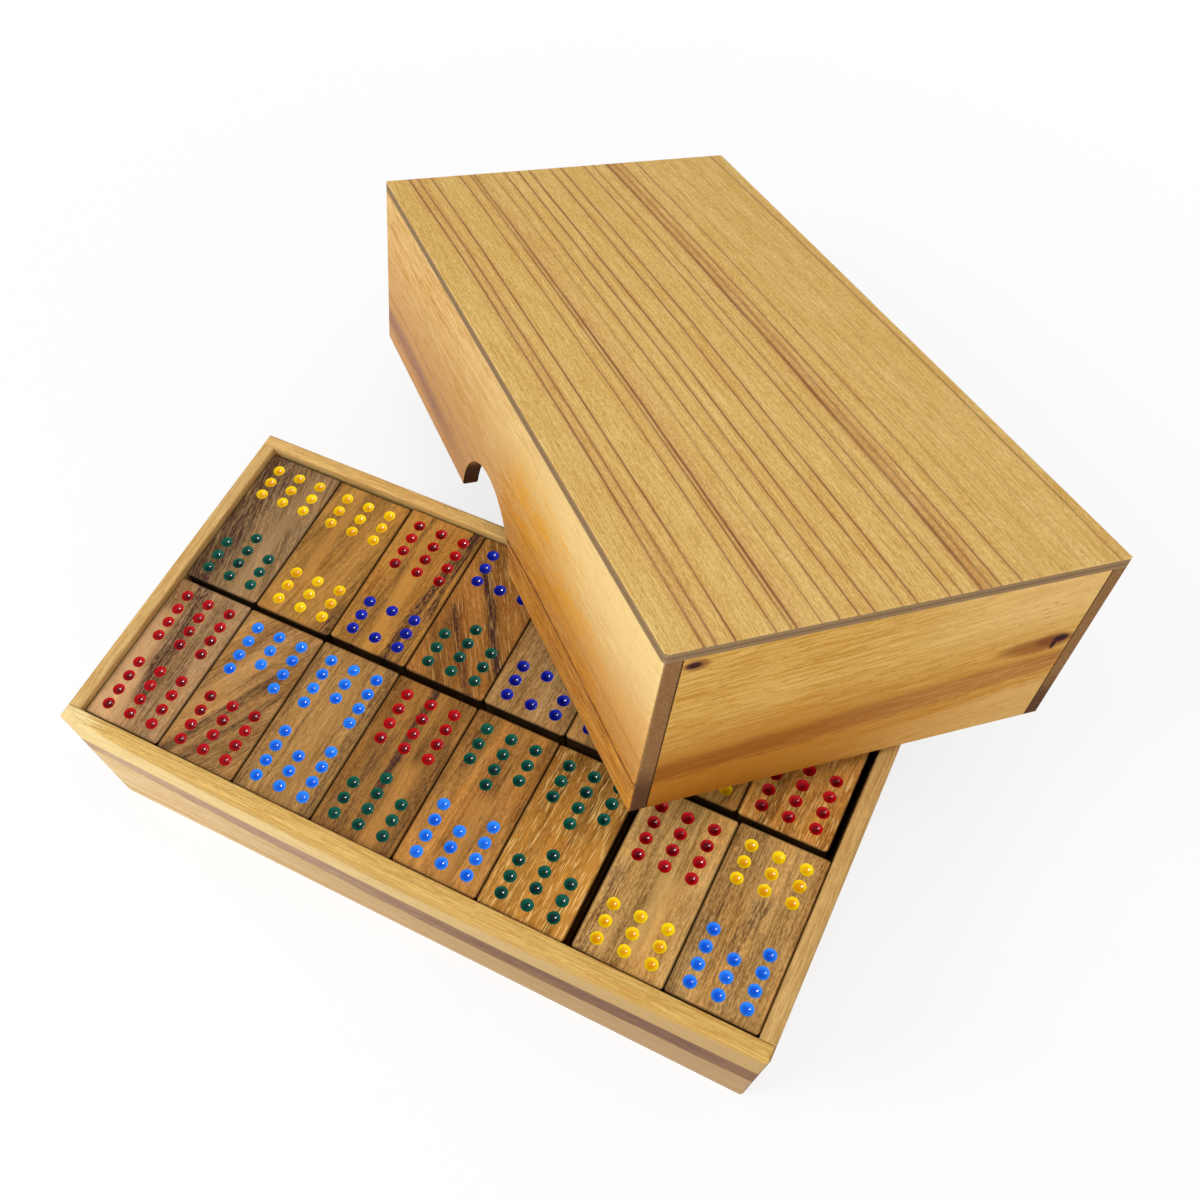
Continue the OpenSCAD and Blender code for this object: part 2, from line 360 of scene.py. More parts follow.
# %% Clouds, growth lines, grain and pores
def fibres_in(at, seed, sway=3.0, cut=0.5):
    """Four layers of a wood: slow clouds, growth lines, fine grain and pores, each 0 to 1.

    Everything is drawn out along the fibres, and a slow noise first pushes the place
    sideways by up to half of `sway` millimetres, so that no line is dead straight. The
    grain is made of long fibres and of short ones, which the saw has cut: `cut` is their share.
    """
    push = (noise(scaled(at, 0.011, 0.03, seed), 1.0) - 0.5) * sway
    bent = moved(at, across=push, deep=push)
    cloud = step(noise(scaled(bent, 0.022, 0.13, seed + 1), 3.0), 0.36, 0.64)
    lines = step(noise(scaled(bent, 0.007, 0.42, seed + 2), 4.0, 0.6), 0.37, 0.63)
    long = noise(scaled(bent, 0.09, 1.9, seed + 3), 4.0, 0.7)
    short = noise(scaled(bent, 0.7, 2.6, seed + 5), 3.0, 0.75)
    grain = step(long * (1 - cut) + short * cut, 0.4, 0.6)
    pores = step(noise(scaled(bent, 0.36, 3.3, seed + 4), 1.0), 0.62, 0.74)
    return cloud, lines, grain, pores


def plain_wood(at, seed, pale, deep, weights=(0.25, 0.3, 0.45), warm=0.3, cut=0.5):
    """Wood between a pale and a deep colour: tone, share of the deep colour, pores and grain.

    The share is the sum of clouds, growth lines and grain, each with its weight. Soft
    patches of `warm` strength turn the tone to orange.
    """
    cloud, lines, grain, pores = fibres_in(at, seed, cut=cut)
    share = cloud * weights[0] + lines * weights[1] + grain * weights[2]
    tone = mixed(share, pale, deep)
    patches = step(noise(scaled(at, 0.035, 0.11, seed + 8), 3.0), 0.44, 0.66) * (grain * 0.6 + 0.7)
    orange = tone.node("ShaderNodeVectorMath", {"operation": "MULTIPLY"}, {0: tone, 1: (0.96, 0.78, 0.50)})
    return mixed(patches * warm, tone, orange), share, pores, grain


def planed(material, tone, grain, pores, more=0.0):
    """Ends the material of a dry planed board: its grain stands up a little, its pores are pits."""
    return finish(material, tone, grain * 0.5 - pores * 0.6 + more, 0.6)


print("wood words ready")

# %% [markdown]
# ## The lid's top panel
#
# The panel is thin plywood with a sawn face of golden sapwood, crossed lengthwise by
# fine dark growth lines. They are what the eye catches first, and they sit at
# uneven places, so they are a list. All of them follow one gentle bow, and each has
# a soft reddish halo. The panel's edge shows the grey-brown plies.

# %% Top panel
LINES = [
    (10.0, 1.3, 0.9), (12.9, 1.3, 0.75), (17.5, 1.1, 1.0), (27.3, 1.0, 0.8), (31.0, 1.2, 0.8),
    (32.3, 1.5, 1.0), (38.5, 0.9, 0.55), (42.9, 1.1, 0.8), (47.8, 1.1, 0.9), (51.9, 1.1, 1.0),
    (59.4, 1.1, 0.85), (63.5, 1.1, 0.9), (72.3, 1.1, 0.8), (75.6, 1.0, 0.7), (81.0, 2.1, 0.9),
    (83.6, 1.8, 0.5), (86.3, 1.2, 0.8), (92.1, 1.1, 0.75), (97.4, 0.9, 0.25), (104.0, 0.8, 0.2),
    (110.5, 0.8, 0.2), (120.9, 1.1, 0.7)
]  # millimetres from the left edge, width, and strength
BROAD = [(83.0, 9.0, 0.3), (34.0, 8.0, 0.2), (12.0, 8.0, 0.16)]
CORE, HALO = 0.92, 3.5  # how wide a line's core and its halo are, in widths
BOW = 1.0e-4  # how fast the lines bow, per millimetre
CREST = 30.0  # where along the lid the bow turns


def veneer(name):
    """The striped panel. At a distance d from the crest its lines are pushed across by BOW · d²."""
    material, at = start(name, lid)
    x, y, z = part(at, "X"), part(at, "Y"), part(at, "Z")
    bow = (x - CREST) * (x - CREST) * BOW
    wander = (noise(scaled(at, 0.012, 0.045, 3), 2.0) - 0.5) * 1.6
    from_edge = y + bow + wander + lid_width / 2
    cloud, lines, grain, pores = fibres_in(moved(at, across=bow), 11, 1.5)
    dark = sum(bands(from_edge, LINES, CORE))
    uneven = step(noise(scaled(at, 0.02, 0.35, 5), 2.0), 0.2, 0.62) * 0.45 + 0.55
    glue_line = band(z, lid_height - panel_depth * 0.55, 1.1)
    ply = mixed(glue_line * 0.35 + noise(scaled(at, 0.5, 2.4, 8), 3.0) * 0.65,
                colour(172, 144, 108), colour(108, 78, 50))
    tone = mixed(cloud * 0.12 + lines * 0.08 + grain * 0.64, colour(241, 207, 132), colour(204, 149, 62))
    # the halos, the broad bands, the lines, the pores, and last the plies on the panel's edge
    tone = glazed(
        tone,
        (largest(bands(from_edge, LINES, HALO)) * 0.18, colour(190, 116, 80)),
        (sum(bands(from_edge, BROAD)) * (grain * 0.7 + 0.5), colour(186, 110, 68)),
        (dark * uneven * 0.85, colour(116, 54, 42)),
        (pores * 0.35, colour(140, 86, 40)),
        (step(facing(at, lid_up.tolist()), 0.75, 0.45), ply))
    return planed(material, tone, grain, pores, dark * 0.3)


wear("lid_top_panel", veneer("striped_veneer"))
print(f"{len(LINES)} growth lines on the lid")

# %% [markdown]
# ## The lid's walls
#
# The long walls run the full length and show their end grain as a dark strip at both
# corners. Each board was cut near the outside of a log, so sapwood and heartwood
# meet in it: pale gold above, brown and a little purple low down. The inner faces of
# the lid are painted nearly black, as the deep shade inside it.

# %% Long walls of the lid
def end_grain(at, tone, direction, seed):
    """Darkens a board's sawn ends, where the open pores drink the finish, and most of all low down."""
    speckle = noise(scaled(at, 1.2, 1.6, seed), 3.0, 0.7)
    rings = noise(scaled(at, 0.02, 0.16, seed + 1), 2.0) * 9
    dark = mixed(speckle, colour(112, 74, 40), colour(176, 134, 90))
    dark = mixed(step(part(at, "Z") + rings, 22, 12) * 0.75, dark, colour(74, 44, 34))
    return mixed(step(facing(at, direction), 0.6, 0.9), tone, dark)


def inside(at, tone, limit):
    """Paints the deep shade inside the lid onto a wall's inner face, at the limit from the lid's middle.
    """
    from_middle = part(at, "Y").math("ABSOLUTE")
    # painted shade: the inner face turns nearly black, as the shade deep inside the lid
    return mixed(step(from_middle, limit + 0.6, limit + 0.1) * 0.92, tone, colour(26, 16, 12))


def lid_side(name, seed, mirrored):
    """A long wall of the lid. The right one has the same colours in another order."""
    material, at = start(name, lid)
    x, z = part(at, "X") * mirrored, part(at, "Z")
    pale, deep = colour(249, 214, 148), colour(200, 146, 68)
    tone, share, pores, grain = plain_wood(at, seed, pale, deep, (0.1, 0.17, 0.74), cut=0.22)
    level = z + (noise(scaled(at, 0.010, 0.03, seed + 9), 1.0) - 0.5) * 9
    ragged = level + (share - 0.5) * 22
    blotch = step(noise(scaled(at, 0.06, 0.16, seed + 3), 4.0, 0.65), 0.38, 0.6)
    glow = step(x + (grain - 0.5) * 10 + (share - 0.5) * 14, 8, 22)
    glow = glow * step(ragged + step(x, 40, 110) * 18, 50, 27)
    streaks = band(level, 12.0, 2.2) * 0.9 + band(ragged, 15.6, 7.0) * 0.7 + band(level, 21.5, 1.6) * 0.3
    purple = band(level, 8.0, 12.0) * step(x, -10, -60) * 0.9
    purple = purple + band(level, 16.0, 2.0) * step(x, 10, -20) * 0.45
    # pale wood on the upper right, brown low down, the orange glow and its darker foot, the dark
    # streaks, the purple stain on the left, and the pores
    tone = glazed(
        tone,
        (step(x, -60, 80) * step(ragged, 28, 46) * 0.7, colour(252, 222, 154)),
        (step(ragged, 46, 6) * 0.75, colour(200, 148, 100)),
        (glow * (blotch * 0.5 + 0.42), mixed(share, colour(246, 182, 60), colour(196, 120, 30))),
        (glow * step(ragged, 28, 8) * 0.7, mixed(share, colour(208, 144, 66), colour(146, 84, 30))),
        (streaks * step(x, 2, 20) * (grain * 0.6 + 0.4), colour(112, 62, 32)),
        (purple * (share * 0.5 + 0.6), colour(156, 112, 100)),
        (pores * 0.26, colour(146, 92, 48)))
    tone = end_grain(at, tone, lid_along.tolist(), seed)
    return planed(material, inside(at, tone, lid_width / 2 - lid_wall), grain, pores)


wear("lid_left_wall", lid_side("lid_left_board", 21, 1))
wear("lid_right_wall", lid_side("lid_right_board", 37, -1))
print("long walls of the lid done")

# %% [markdown]
# The short walls sit between the long ones. The one in front is the showpiece: a
# broad brown streak climbs across it, and two pin knots mark where twigs grew. A
# knot is a small dark spot that the fibres flow round, drawn here as an ellipse
# with a soft brown tail.

# %% Ends of the lid
def spot(u, v, at_u, at_v, half_u, half_v):
    """1 in the middle of an ellipse, fading to 0 at its edge."""
    du = (u - at_u) * (1 / half_u)
    dv = (v - at_v) * (1 / half_v)
    return step(du * du + dv * dv, 1.0, 0.15)


# place across the lid and height, then half the width and height, all in millimetres
KNOTS = [(-54.2, 50.2, 2.6, 1.2), (53.4, 30.9, 3.2, 1.7), (51.9, 29.0, 1.1, 2.2)]
TAILS = [(-53.4, 50.2, 4.2, 2.2), (51.4, 30.9, 7.5, 2.9)]
CLIMB = 0.085  # how steeply the fibres climb to the right
end_board = Board(lid.zero, lid_across, -lid_along, lid_up)


def front_end(name):
    """The board with the climbing streak: u runs across the lid, and v up from its rim."""
    material, at = start(name, end_board)
    u, v = part(at, "X"), part(at, "Z")
    slanted = moved(at, deep=u * -CLIMB)
    pale, deep = colour(236, 194, 112), colour(202, 146, 58)
    tone, share, pores, grain = plain_wood(slanted, 51, pale, deep, (0.13, 0.15, 0.7), cut=0.2)
    level = v + (noise(scaled(slanted, 0.022, 0.06, 52), 2.0) - 0.5) * 4 - u * CLIMB
    ragged = level + (share - 0.5) * 3
    streak = step(ragged, 22.6, 19.8) * step(ragged, 12.8, 15.8)
    streak_tone = mixed(step(u, -30, 50), colour(150, 88, 34), colour(166, 104, 66))
    knot = largest([spot(u, v, *place) for place in KNOTS])
    tail = largest([spot(u, v, *place) for place in TAILS])
    # pale wood on the right, brown low down, the streak and its dark upper edge, the brown corner
    # on the lower left, the shade round the right knot, tails, knots, and pores
    tone = glazed(
        tone,
        (step(u, -20, 50) * (step(ragged, 25, 42) + step(ragged, 12, 8)) * 0.5, colour(250, 210, 142)),
        (step(ragged, 40, 14) * (0.85 - step(u, -40, 60) * 0.55), colour(178, 108, 26)),
        (streak * (share * 0.35 + 0.6) * (1 - step(u, -45, 45) * 0.42), streak_tone),
        (band(ragged, 20.5, 3.5) * step(u, -20, 40) * 0.3, colour(120, 68, 40)),
        (step(level, 14, -2) * step(u, 20, -50) * 0.85, colour(134, 74, 8)),
        (spot(u, v, 46, 29.8, 14, 3.6) * 0.7, colour(140, 76, 40)),
        (tail * 0.7, colour(124, 66, 40)),
        (knot * 0.95, colour(50, 28, 40)),
        (pores * 0.4, colour(136, 84, 40)))
    tone = inside(at, tone, lid_length / 2 - lid_wall)
    return planed(material, tone, grain, pores, knot * -0.4)


def back_end(name):
    """A plainer board with one brown band."""
    material, at = start(name, end_board)
    tone, share, pores, grain = plain_wood(at, 61, colour(230, 186, 108), colour(194, 136, 62))
    brown = band(part(at, "Z") + share * 8, 20, 14)
    tone = glazed(tone, (brown * 0.6, colour(160, 100, 50)), (pores * 0.4, colour(136, 84, 40)))
    return planed(material, inside(at, tone, lid_length / 2 - lid_wall), grain, pores)


wear("lid_front_end", front_end("lid_front_board"))
wear("lid_back_end", back_end("lid_back_board"))
print("ends of the lid done")

# %% [markdown]
# ## The tray
#
# The tray's boards are paler. Along the front board the golden outer wood shows only
# in the middle of the rim, because the saw followed the board and not the tree. A
# pale band lies below it, and then a purple-brown band of heartwood that sags with
# it. Both edges of the bands are parabolas of the place along the board.

# %% Tray boards
def sagging(x, middle, depth, bow):
    """Level of a band's edge. At a distance d from its middle it has risen by bow · d²."""
    return (x - middle) * (x - middle) * bow + (tray_height - depth)


def tray_board(name, board, seed, pale, deep, heart, gold):
    """A wall of the tray.

    Heart is the depth of its brown band under the rim, the band's width and its share.
    Gold is how strongly the outer wood and the pale and shaded bands show, and the painted
    shade that darkens the wall to the right.
    """
    material, at = start(name, board)
    x, z = part(at, "X"), part(at, "Z")
    pale, deep = colour(*pale), colour(*deep)
    tone, share, pores, grain = plain_wood(at, seed, pale, deep, (0.1, 0.16, 0.7), cut=0.25)
    level = z + (noise(scaled(at, 0.02, 0.05, seed + 7), 2.0) - 0.5) * 3 + (share - 0.5) * 1.5
    depth, width, strength = heart
    above = level - sagging(x, 15, depth, 4.4e-4)
    below = sagging(x, 30, depth + width, 7.0e-4) - level
    shaded = step(below, 0, 3) * (1 - step(below, 4, 14) * 0.3) * step(x, -170, 70)
    heartwood = step(above, 0.8, -0.6) * step(below, 1.5, -2.0) * (share * 0.3 + strength)
    heartwood = heartwood * (step(x, -90, 60) * 0.42 + 0.55 - step(x, 84, 104) * 0.15)
    heart_tone = mixed(step(x, -100, 40), colour(122, 88, 130), colour(98, 62, 68))
    rim = step(level - sagging(x, 15, 9.8, 8.1e-4), -0.8, 0.8)
    rim_tone = mixed(grain * 0.6 + share * 0.4, colour(224, 186, 104), colour(194, 144, 66))
    # pale wood over the heartwood, painted shade darkening the wall to the right, the pale and the
    # shaded band under it, the heartwood, two faint bands near the foot, the golden rim, and the pores
    tone = glazed(
        tone,
        (step(above, -1, 1) * gold * 0.55, colour(252, 230, 166)),
        # painted shade: the wall darkens toward the right
        (step(x, -110, 110) * gold * 0.9, colour(176, 138, 88)),
        (step(below, 0, 3) * gold * 0.35, colour(236, 214, 178)),
        (shaded * gold * 0.7, colour(160, 128, 92)),
        (heartwood, heart_tone),
        (band(level, 5, 5) * 0.35 + band(level, 11, 3) * 0.2, colour(176, 128, 80)),
        (rim * gold, rim_tone),
        (pores * 0.35, colour(140, 96, 54)))
    return planed(material, end_grain(at, tone, board.axes[:, 0].tolist(), seed), grain, pores)


side_board = Board((0, 0, 0), Y, -X, Z)
TRAY_WALLS = {
    "tray_front_wall": ("front", tray, 71, (250, 224, 166), (204, 156, 90), (20.4, 13.2, 0.62), 0.85),
    "tray_back_wall": ("back", tray, 83, (226, 182, 110), (178, 128, 66), (34.0, 9.0, 0.3), 0.3),
    "tray_left_end": ("left", side_board, 91, (224, 186, 124), (184, 138, 82), (30.0, 12.0, 0.3), 0.2),
    "tray_right_end": ("right", side_board, 97, (214, 172, 108), (166, 118, 62), (38.0, 8.0, 0.3), 0.2),
}
for wall, (side, *looks) in TRAY_WALLS.items():
    wear(wall, tray_board(f"tray_{side}_board", *looks))


def floor_ply(name):
    """The tray's floor, of plain plywood."""
    material, at = start(name, tray)
    tone, _, pores, grain = plain_wood(at, 101, colour(214, 176, 122), colour(166, 120, 72))
    return planed(material, tone, grain, pores)


wear("tray_floor", floor_ply("floor_ply"))
print(f"{len(TRAY_WALLS)} walls of the tray and its floor done")

# %% [markdown]
# ## The dominoes
#
# Every domino is cut from another stick, so each has its own tone, from pale tan to
# purple-brown, its own slant of grain, and its own streaks of brown heartwood or pale
# sapwood. Most are also a little lighter toward one side. One recipe makes them all,
# and a short table of looks tells them apart.

# %% Looks of the sixteen dominoes on top
# tone, slant in degrees, pores, flecks, then how much lighter the face gets to the right and to
# the back, and its streaks: place and width across, from and to along, lean, and a share of
# heartwood, or of pale wood if it is negative. Millimetres from the middle of the face.
LOOKS = {
    "front_1": ((162, 128, 90), 0, 0.5, 0.1, -0.06, -0.12, [
        (-8.5, 8, -30, 14, 0, -0.7), (-5, 8, -30, -8, 0, -0.7), (-1.7, 6.4, -16, 30, -0.1, 1.2),
        (5, 7, -8, 30, 0.02, 0.4), (1.5, 4, -30, -6, 0, 0.3)]),
    "front_2": ((163, 123, 74), 29, 0.5, 0.1, -0.03, 0, [
        (3, 4.5, -30, 10, 0.55, 0.9), (9.5, 3.5, -30, 4, 0.55, 0.75), (-7, 2, -30, 6, 0.6, 0.35),
        (0, 30, 17, 30, 0, 0.3), (-6, 7, -14, 12, 0.55, -0.3)]),
    "front_3": ((154, 116, 65), 1, 0.5, 0.3, 0, 0, [
        (10.2, 5.5, -30, 30, 0, 0.7), (-11, 4, -30, 30, 0, 0.6), (-4.4, 1.2, -30, 30, 0, 0.5),
        (-6.6, 1, -30, 26, 0, 0.4), (5.4, 1.2, -30, 30, 0, 0.4), (1.5, 7, -30, 22, 0, -0.3)]),
    "front_4": ((145, 103, 51), 1, 0.6, 0.1, 0.03, -0.02, [
        (-0.4, 3.6, -10, 30, 0, 1.5), (-5.6, 5, -30, 8, 0, 0.6), (-10, 3, -30, -12, 0, 0.5),
        (0.5, 2.4, -30, -8, 0, 0.6), (5.2, 6, -30, 2, 0, -0.8), (10.5, 2, -30, 30, 0, 0.4)]),
    "front_5": ((165, 118, 60), 2, 0.6, 0.1, 0.04, -0.12, [
        (-8.6, 1.4, 6, 30, 0, 0.7), (-11, 5, 12, 30, 0, 0.5), (0, 8, 2, 30, 0, 0.2),
        (1.5, 7, -30, 2, 0, -0.4)]),
    "front_6": ((167, 117, 50), 2, 0.4, 1, 0.05, -0.11, [
        (2, 9, 2, 30, 0, 0.3), (10.5, 4, -30, 4, 0, -0.6)]),
    "front_7": ((191, 151, 92), 2, 0.4, 0, 0, -0.04, [
        (-8, 6, 8, 30, 0, 0.4), (-10, 6, -30, 2, 0, 0.8), (2.5, 7, -20, 4, 0, -0.35)]),
    "front_8": ((186, 147, 91), 0, 0.7, 0, 0.04, 0, [
        (0, 5, -10, 8, 0.2, 0.8), (1, 5, -30, -8, 0, 0.5), (-9.5, 6, -30, 24, 0, 0.45)]),
    "back_1": ((139, 111, 79), -12, 0.5, 0.3, 0.08, 0, [
        (-8, 15, -30, 30, 0.05, 0.95), (5.2, 6, -30, 22, 0, -0.5)]),
    "back_2": ((163, 120, 61), 10, 0.5, 0.1, 0, 0, [
        (11.4, 4, -30, -14, 0, 0.9), (-4.6, 5, -12, 30, 0, -0.5)]),
    "back_3": ((167, 120, 57), 2, 0.5, 0.1, -0.02, 0, [
        (7.4, 3.4, -30, 30, 0.08, 1.6), (10.4, 2.6, -8, 30, 0, 1.2), (8, 8, -30, -2, 0, 0.6),
        (-5.2, 2, 2, 30, 0, 0.6), (-3.4, 1.6, -30, -8, 0.1, 0.6), (-0.5, 8, -30, 6, 0, -0.6)]),
    "back_4": ((150, 102, 49), -33, 0.5, 0.4, 0.05, 0.06, [
        (2.5, 3.8, -30, 16, -0.68, 1.5), (-7.5, 5, -12, 2, 0, 0.6), (-9, 4, -30, 0, -0.68, 0.8)]),
    "back_5": ((172, 135, 86), 4, 0.6, 0.2, 0, 0, [(5, 6, -30, 30, 0, 0.3)]),
    "back_6": ((178, 132, 76), -4, 0.5, 0.2, 0, 0, [(-4, 4, -30, 30, 0, 0.4)]),
    "back_7": ((174, 128, 70), 6, 0.5, 0.3, 0, 0, [(3, 3, -30, 30, 0.1, 0.4)]),
    "back_8": ((196, 137, 66), 1, 0.4, 1, 0, 0, [(-5, 5, -30, 30, 0, 0.3)]),
}
print(f"{len(LOOKS)} looks, {sum(len(look[-1]) for look in LOOKS.values())} streaks")

# %% [markdown]
# The recipe turns the place by the slant, makes plain wood there, and lays the streaks,
# pores and flecks over it. The saw has singed the edges of each face. The sides are
# painted dark as the shade of the narrow gaps between the dominoes, most of all near
# the top.

# %% Wood of a domino
HEART = colour(66, 40, 32)
PORE = colour(58, 34, 22)
FLECK = colour(236, 196, 122)


def domino_wood(name, board, size, look, seed):
    """One domino's wood. The frame's zero is the middle of its face, and its fibres run lengthwise."""
    light, slant, pore_share, fleck_share, right, back, streaks = look
    material, at = start(name, board)
    along, across = part(at, "X"), part(at, "Y")
    leaning = turned(at, slant)
    pale, sapwood = (colour(*np.minimum(np.array(light) * more, 255)) for more in (1.26, 1.36))
    deep = colour(*np.array(light) * (0.60, 0.54, 0.40))
    tone, share, pores, grain = plain_wood(leaning, seed, pale, deep, (0.36, 0.16, 0.48), 0.45)
    wave = (noise(scaled(leaning, 0.04, 0.12, seed + 5), 2.0) - 0.5) * 4
    for place, width, start_at, end_at, lean, strength in streaks:
        path = across + along * lean + wave
        here = step(along, start_at - 3, start_at + 3) * step(along, end_at + 3, end_at - 3)
        core = (band(path, -place, width * 1.2) * 1.5).math("MINIMUM", 1.0)
        soft = core * here * (share * 0.4 + grain * 0.6 + 0.2) * (abs(strength) * 0.9)
        tone = mixed(soft, tone, HEART if strength > 0 else sapwood)
    flecks = step(noise(scaled(leaning, 0.2, 2.6, seed + 6), 1.0), 0.56, 0.68)
    tone = glazed(tone, (pores * (pore_share * 0.8), PORE), (flecks * (fleck_share * 0.7), FLECK))
    half_length, half_width = size[0] / 2, size[1] / 2
    lighter = along * (back / half_length) - across * (right / half_width) + 1.0
    tone = tone.node("ShaderNodeVectorMath", {"operation": "SCALE"}, {0: tone, "Scale": lighter})
    to_side = half_width - across.math("ABSOLUTE")
    to_end = half_length - along.math("ABSOLUTE")
    singed = step(to_side.math("MINIMUM", to_end) + (share - 0.5) * 0.5, 0.6, 0.15)
    # painted shade of the narrow gaps between the dominoes, darkest near the top of the sides
    gap_shade = step(facing(at, (0, 0, 1)), 0.8, 0.3) * (step(part(at, "Z"), -7, -1) * 0.75 + 0.15)
    tone = glazed(tone, (singed * 0.6, colour(42, 25, 18)), (gap_shade, colour(16, 10, 8)))
    return finish(material, tone, grain * 0.4 - pores * 0.5 + flecks * (0.2 * fleck_share), 0.55, 0.025)


boards = {}
for number, (key, look) in enumerate(LOOKS.items()):
    node = "domino_" + key
    low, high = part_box(node)
    boards[node] = Board(((low.x + high.x) / 2, (low.y + high.y) / 2, high.z), Y, -X, Z)
    size = ((high.y - low.y) / MM, (high.x - low.x) / MM)
    wear(node, domino_wood(node + "_wood", boards[node], size, look, 200 + 9 * number))
print(f"{len(boards)} dominoes on top")

# %% [markdown]
# The layers below show only when a domino is lifted out. Each node holds a whole
# row, so their wood changes from one domino to the next by a random number for each
# column: a step function of the place along the row.

# %% Lower layers
tile_pitch = boards["domino_front_2"].zero[0] - boards["domino_front_1"].zero[0]


def row_board(low, high):
    """The frame of a row of dominoes: zero on top, at its left end and halfway across it."""
    return Board((low.x, (low.y + high.y) / 2, high.z), Y, -X, Z)


def layer_wood(name, board, seed):
    """Wood of a row of dominoes, with another tone in each column of the row."""
    material, at = start(name, board)
    column = (part(at, "Y") * (-MM / tile_pitch)).math("FLOOR")
    tone_share = (column * 0.37 + seed * 0.23).math("FRACT")
    own = moved(at, along=column * 61.0, deep=column * 17.0)
    pale = mixed(tone_share, colour(204, 158, 96), colour(170, 122, 72))
    deep = mixed(tone_share, colour(146, 98, 46), colour(96, 62, 40))
    tone, _, pores, grain = plain_wood(own, seed, pale, deep, (0.35, 0.35, 0.4), 0.45)
    tone = mixed(pores * 0.45, tone, colour(58, 36, 26))
    return finish(material, tone, grain * 0.4 - pores * 0.5, 0.55, 0.025)


lower = sorted(name for name in nodes if name.startswith("layer_"))
for number, node in enumerate(lower):
    wear(node, layer_wood(node + "_wood", row_board(*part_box(node)), 400 + 7 * number))
print(f"{len(lower)} rows below")

# %% [markdown]
# ## Enamel in the pips
#
# The pips are drilled with a round-nosed cutter and filled by hand with a drop of
# gloss enamel. The paint shrinks as it dries and leaves a shallow bowl that is thin
# at the rim and thick in the middle. A texture could fake that, but a drop that is
# really there catches the lamps as the real one does.
#
# How many pips a half has is counted in the drilled node itself, and the number
# picks the colour, as on the real set.

# %% Find the drilled pips
PIP_RADIUS = 1.8  # millimetres, as are the next six
PIP_DEPTH = 1.2
FIRST_ROW = 5.0  # from the middle of the domino to its nearest row of pips
ALONG_STEP = 5.0
ACROSS_STEP = 7.6
CLEAR_ALONG, CLEAR_ACROSS = 23.0, 10.5  # no pip reaches out of this part of the face
ENAMEL_OF = {12: "red", 11: "light_blue", 10: "green", 9: "yellow", 8: "navy", 7: "orange",
             6: "purple", 5: "turquoise", 4: "brown", 3: "pink", 2: "grey", 1: "white"}


def drilled(points, board):
    """The grid places of the pips in one domino, as rows of half, row and line.

    Points deeper than half a pip and away from the sides belong to pips. Dividing
    by the steps of the pattern and rounding gives the place that each one stands at.
    """
    at = board.seen(points)
    clear = (abs(at[:, 0]) < CLEAR_ALONG) & (abs(at[:, 1]) < CLEAR_ACROSS)
    deep = (at[:, 2] < -0.5 * PIP_DEPTH) & (at[:, 2] > -1.5 * PIP_DEPTH)
    pit = at[clear & deep]
    half = np.sign(pit[:, 0])
    row = np.rint((abs(pit[:, 0]) - FIRST_ROW) / ALONG_STEP)
    line = np.rint(pit[:, 1] / ACROSS_STEP)
    return np.unique(np.stack([half, row, line], 1), axis=0)


def pip_middles(grid):
    """Middles of the pips in the domino's frame: along, across, in millimetres."""
    along = grid[:, 0] * (FIRST_ROW + ALONG_STEP * grid[:, 1])
    return np.stack([along, grid[:, 2] * ACROSS_STEP], 1)


counts = {}
for node, board in boards.items():
    grid = drilled(points_of(node), board)
    counts[node] = [int((grid[:, 0] == half).sum()) for half in (1, -1)]
print("pips, back half and front half:", counts)

# %% [markdown]
# A rim painted by hand is never quite round. Its radius wavers with the angle as a
# sum of three cosines, and where the brush slipped it runs out in a tongue. The slips
# are few and each is a small accident of its own, so they are a list.

# %% Rims and slips of the brush
SEGMENTS = 12
ANGLES = np.arange(SEGMENTS) * 2 * math.pi / SEGMENTS
RIM = 1.03  # mean radius of a rim, as a share of the pip's
WAVER = 0.022  # the largest size of one of its cosines
SHARPNESS = 4  # a power that makes a tongue narrow

# half (1 back, -1 front), row from the middle, line to the left, direction in degrees, reach
SMEARS = {
    "domino_front_1": [(-1, 2, -1, 150, 0.30), (-1, 3, -1, 200, 0.25)],
    "domino_front_2": [(1, 3, -1, 250, 0.2), (-1, 0, 0, 20, 0.3)],
    "domino_front_3": [(1, 2, 1, 190, 0.3), (-1, 3, -1, 240, 0.2)],
    "domino_front_4": [(1, 3, 0, 60, 0.25)],
    "domino_front_5": [(-1, 3, -1, 200, 0.45), (-1, 0, -1, 160, 0.2)],
    "domino_front_7": [(1, 3, -1, 255, 0.55), (1, 2, 0, 200, 0.2), (1, 1, -1, 70, 0.25),
                       (1, 0, -1, 120, 0.2)],
    "domino_front_8": [(-1, 1, 0, 330, 0.2)],
    "domino_back_1": [(1, 1, 0, 150, 0.2)],
    "domino_back_2": [(1, 2, -1, 90, 0.25)],
    "domino_back_3": [(-1, 2, -1, 250, 0.35)],
    "domino_back_8": [(-1, 1, -1, 250, 0.2)],
}


def rim_of(count, dice):
    """Rim radius of each drop at each segment, as a share of the pip's radius.

    It is RIM plus three cosines of one, two and three times the angle, each with
    its own random phase and size.
    """
    waves = np.arange(1, 4)[None, :, None]
    phase = dice.uniform(0, 2 * math.pi, (count, 3, 1))
    size = dice.uniform(0, WAVER, (count, 3, 1))
    return RIM + (size * np.cos(waves * ANGLES + phase)).sum(1)


def slipped(rim, grid, slips):
    """The rims with a tongue of reach · max(0, cos(angle - direction))⁴ at each slip."""
    for half, row, line, direction, reach in slips:
        hit = (grid == (half, row, line)).all(1)
        rim[hit] += reach * np.clip(np.cos(ANGLES - math.radians(direction)), 0, 1) ** SHARPNESS
    return rim


print(f"{sum(map(len, SMEARS.values()))} slips of the brush")
